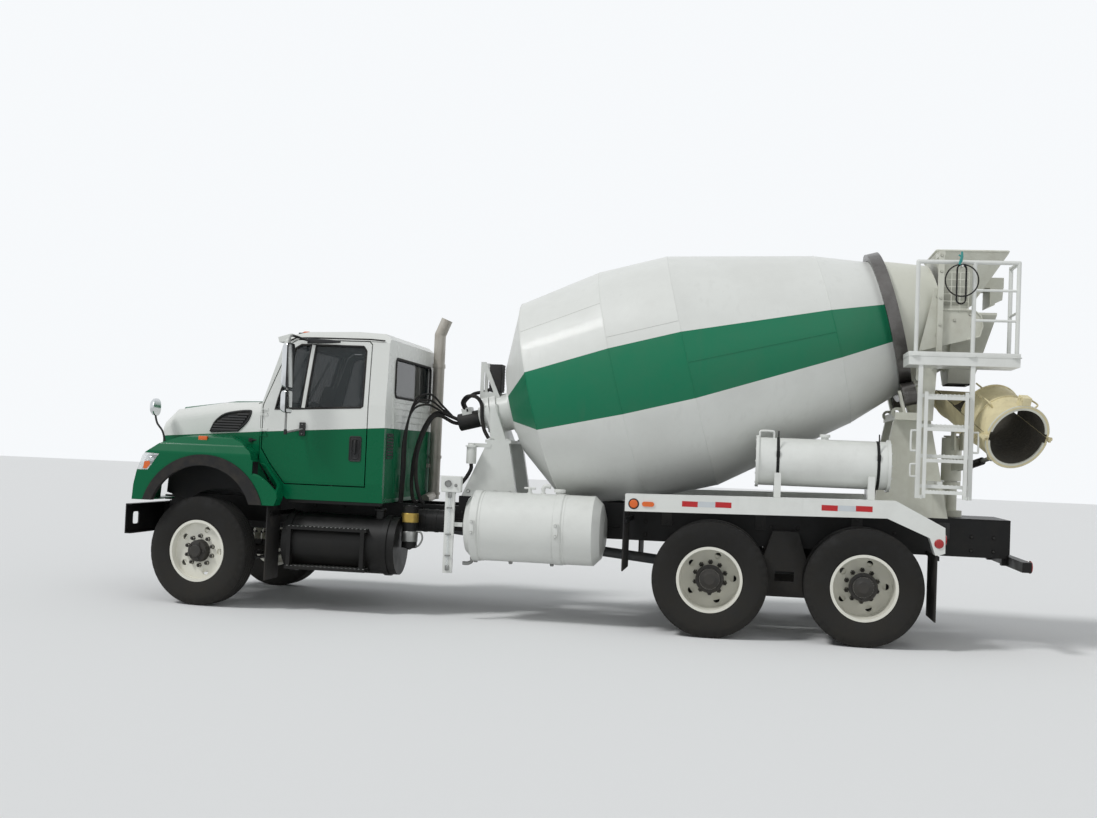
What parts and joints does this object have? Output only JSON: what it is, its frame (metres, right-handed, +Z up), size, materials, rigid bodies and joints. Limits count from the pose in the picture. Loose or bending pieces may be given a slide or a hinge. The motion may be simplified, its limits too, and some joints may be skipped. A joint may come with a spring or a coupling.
{
  "type": "concrete mixer truck",
  "caption": "Bonneted concrete mixer truck with a sloping drum, a rear charge hopper, a parked discharge chute, water tanks and a day cab.",
  "frame": {"origin": "middle of the bounding box on the ground under the tyres", "axes": "+X towards the rear of the truck, +Y towards its right side, +Z up"},
  "size_m": [8.654, 2.64, 3.7132],
  "materials": {
    "black_paint": "satin",
    "cast_black": "rough",
    "white_paint": "gloss",
    "cream_paint": "satin",
    "green_paint": "gloss",
    "bright_steel": "worn",
    "engine_grey": "rough",
    "cab_trim": "matt",
    "window_glass": "clear",
    "lamp_lens": "clear",
    "amber_lens": "gloss",
    "tyre_rubber": "matt",
    "rubber_trim": "matt",
    "mirror_shell": "polished"
  },
  "bodies": {
    "chassis": {"chassis_frame": "black_paint", "front_bumper": "black_paint", "front_axle": "cast_black", "rear_bogie": "cast_black", "power_train": "engine_grey", "cab_shell": "white_paint", "cab_glass": "window_glass", "cab_interior": "cab_trim", "exhaust_stack": "bright_steel", "fuel_tank": "black_paint", "battery_box": "black_paint", "air_tanks": "black_paint", "water_tank": "white_paint", "front_pedestal": "white_paint", "drum_drive": "white_paint", "rear_pedestal": "white_paint", "rear_wings": "white_paint", "mud_flaps": "rubber_trim", "aux_tank": "white_paint", "platform": "white_paint", "charge_hopper": "white_paint", "collector": "white_paint", "marker_lamps": "amber_lens", "wash_hose": "rubber_trim"},
    "bonnet": {"bonnet": "green_paint", "grille": "bright_steel", "headlamps": "lamp_lens", "wing_flares": "rubber_trim"},
    "door_left": {"door_left": "green_paint", "door_glass_left": "window_glass", "mirror_left": "mirror_shell"},
    "door_right": {"door_right": "green_paint", "door_glass_right": "window_glass", "mirror_right": "mirror_shell"},
    "knuckle_left": {"knuckle_left": "cast_black"},
    "knuckle_right": {"knuckle_right": "cast_black"},
    "tie_rod": {"tie_rod": "cast_black"},
    "drum": {"drum": "white_paint", "drum_track": "bright_steel"},
    "roller_left": {"roller_left": "bright_steel"},
    "roller_right": {"roller_right": "bright_steel"},
    "chute_swivel": {"chute_swivel": "white_paint"},
    "main_chute": {"main_chute": "cream_paint"},
    "fold_chute": {"fold_chute": "cream_paint"},
    "lift_barrel": {"lift_barrel": "black_paint"},
    "lift_rod": {"lift_rod": "bright_steel"},
    "ladder_lower": {"ladder_lower": "white_paint"},
    "wheel_front_left": {"tyre_front_left": "tyre_rubber", "rim_front_left": "cream_paint"},
    "wheel_front_right": {"tyre_front_right": "tyre_rubber", "rim_front_right": "cream_paint"},
    "wheel_mid_left": {"tyre_mid_left": "tyre_rubber", "rim_mid_left": "cream_paint"},
    "wheel_mid_right": {"tyre_mid_right": "tyre_rubber", "rim_mid_right": "cream_paint"},
    "wheel_rear_left": {"tyre_rear_left": "tyre_rubber", "rim_rear_left": "cream_paint"},
    "wheel_rear_right": {"tyre_rear_right": "tyre_rubber", "rim_rear_right": "cream_paint"}
  },
  "joints": [
    {"name": "bonnet_tilt", "type": "hinge", "parent": "chassis", "child": "bonnet", "pos_m": [-4.23697, 0, 1], "axis": [0, -1, 0], "range_deg": [0, 75]},
    {"name": "door_left_hinge", "type": "hinge", "parent": "chassis", "child": "door_left", "pos_m": [-3.03497, -1.012, 1.9], "axis": [0, 0, 1], "range_deg": [-70, 0]},
    {"name": "door_right_hinge", "type": "hinge", "parent": "chassis", "child": "door_right", "pos_m": [-3.03497, 1.012, 1.9], "axis": [0, 0, -1], "range_deg": [-70, 0]},
    {"name": "steer_left", "type": "hinge", "parent": "chassis", "child": "knuckle_left", "pos_m": [-3.54697, -0.9, 0.525], "axis": [0, 0, 1], "range_deg": [-26, 44]},
    {"name": "steer_right", "type": "hinge", "parent": "chassis", "child": "knuckle_right", "pos_m": [-3.54697, 0.9, 0.525], "axis": [0, 0, 1], "range_deg": [-26, 44]},
    {"name": "tie_rod_pivot", "type": "hinge", "parent": "knuckle_left", "child": "tie_rod", "pos_m": [-3.35931, -0.92972, 0.398], "axis": [0, 0, 1], "range_deg": [-44, 26]},
    {"name": "wheel_front_left_spin", "type": "hinge", "parent": "knuckle_left", "child": "wheel_front_left", "pos_m": [-3.54697, -0.9, 0.525], "axis": [0.1564, 0.9877, 0], "continuous": true},
    {"name": "wheel_front_right_spin", "type": "hinge", "parent": "knuckle_right", "child": "wheel_front_right", "pos_m": [-3.54697, 0.9, 0.525], "axis": [0.1564, 0.9877, 0], "continuous": true},
    {"name": "wheel_mid_left_spin", "type": "hinge", "parent": "chassis", "child": "wheel_mid_left", "pos_m": [1.35303, -0.9225, 0.525], "axis": [0, 1, 0], "continuous": true},
    {"name": "wheel_mid_right_spin", "type": "hinge", "parent": "chassis", "child": "wheel_mid_right", "pos_m": [1.35303, 0.9225, 0.525], "axis": [0, 1, 0], "continuous": true},
    {"name": "wheel_rear_left_spin", "type": "hinge", "parent": "chassis", "child": "wheel_rear_left", "pos_m": [2.72303, -0.9225, 0.525], "axis": [0, 1, 0], "continuous": true},
    {"name": "wheel_rear_right_spin", "type": "hinge", "parent": "chassis", "child": "wheel_rear_right", "pos_m": [2.72303, 0.9225, 0.525], "axis": [0, 1, 0], "continuous": true},
    {"name": "drum_spin", "type": "hinge", "parent": "chassis", "child": "drum", "pos_m": [1.05303, 0, 2.49], "axis": [0.9681, 0, 0.2504], "continuous": true},
    {"name": "roller_left_spin", "type": "hinge", "parent": "chassis", "child": "roller_left", "pos_m": [3.13472, -0.48783, 2.30875], "axis": [0.9681, 0, 0.2504], "continuous": true},
    {"name": "roller_right_spin", "type": "hinge", "parent": "chassis", "child": "roller_right", "pos_m": [3.13472, 0.48783, 2.30875], "axis": [0.9681, 0, 0.2504], "continuous": true},
    {"name": "chute_swing", "type": "hinge", "parent": "chassis", "child": "chute_swivel", "pos_m": [3.61303, 0, 1.7], "axis": [0, 0, 1], "range_deg": [0, 140]},
    {"name": "chute_lift", "type": "hinge", "parent": "chute_swivel", "child": "main_chute", "pos_m": [3.65065, -0.10337, 1.99], "axis": [-0.9397, -0.342, 0], "range_deg": [-11, 6]},
    {"name": "chute_fold", "type": "hinge", "parent": "main_chute", "child": "fold_chute", "pos_m": [4.01328, -1.09968, 1.91897], "axis": [0.9397, 0.342, 0], "range_deg": [0, 180]},
    {"name": "lift_barrel_tilt", "type": "hinge", "parent": "chute_swivel", "child": "lift_barrel", "pos_m": [3.7259, -0.3101, 1.655], "axis": [-0.9397, -0.342, 0], "range_deg": [-17, 10]},
    {"name": "lift_rod_slide", "type": "slide", "parent": "lift_barrel", "child": "lift_rod", "axis": [0.3355, -0.9219, 0.1939], "range_m": [-0.075, 0.042]},
    {"name": "ladder_fold", "type": "hinge", "parent": "chassis", "child": "ladder_lower", "pos_m": [3.38803, -1.19, 1.362], "axis": [1, 0, 0], "range_deg": [0, 176]}
  ],
  "couplings": [
    {"joint": "steer_right", "follows": "steer_left", "ratio": 1},
    {"joint": "tie_rod_pivot", "follows": "steer_left", "ratio": -1},
    {"joint": "roller_left_spin", "follows": "drum_spin", "ratio": -6.7273},
    {"joint": "roller_right_spin", "follows": "drum_spin", "ratio": -6.7273},
    {"joint": "lift_barrel_tilt", "follows": "chute_lift", "ratio": 1.42},
    {"joint": "lift_rod_slide", "follows": "chute_lift", "m_per_rad": 0.3605}
  ]
}
